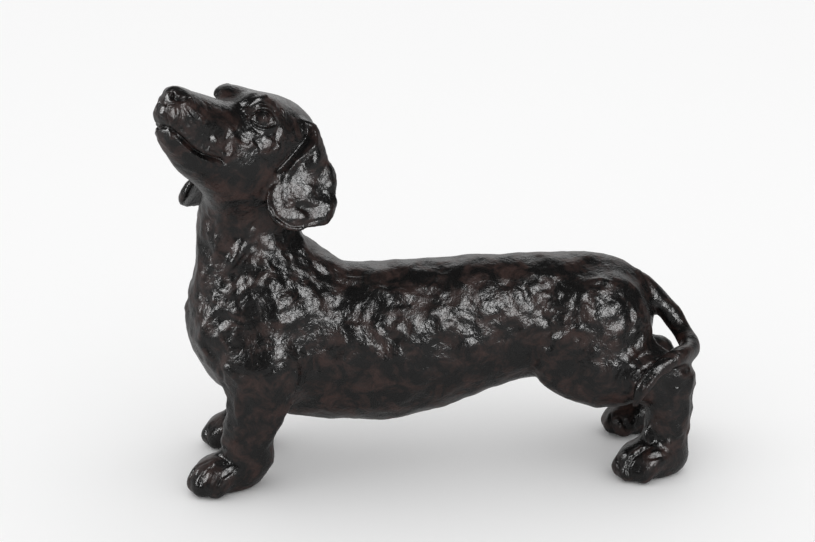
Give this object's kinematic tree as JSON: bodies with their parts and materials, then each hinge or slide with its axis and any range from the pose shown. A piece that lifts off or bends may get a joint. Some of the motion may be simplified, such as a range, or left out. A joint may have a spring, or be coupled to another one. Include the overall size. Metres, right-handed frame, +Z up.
{
  "type": "dachshund sculpture",
  "caption": "Standing dachshund sculpture in dark patinated bronze with a raised head, long hanging ears and a tail curled round its hock",
  "frame": {"origin": "centre of the bounding box on the ground plane that all four paws stand on", "axes": "+X along the body from chest to rump, so the dog faces -X with its head turned towards -Y, +Z up, and its left flank, which the picture shows, towards -Y"},
  "size_m": [0.5013, 0.1729, 0.3934],
  "materials": {
    "bronze": "dark brown-black patina, waxed to a gloss, over thumbed clay modelling"
  },
  "bodies": {
    "root": {"dachshund": "bronze"}
  },
  "joints": []
}
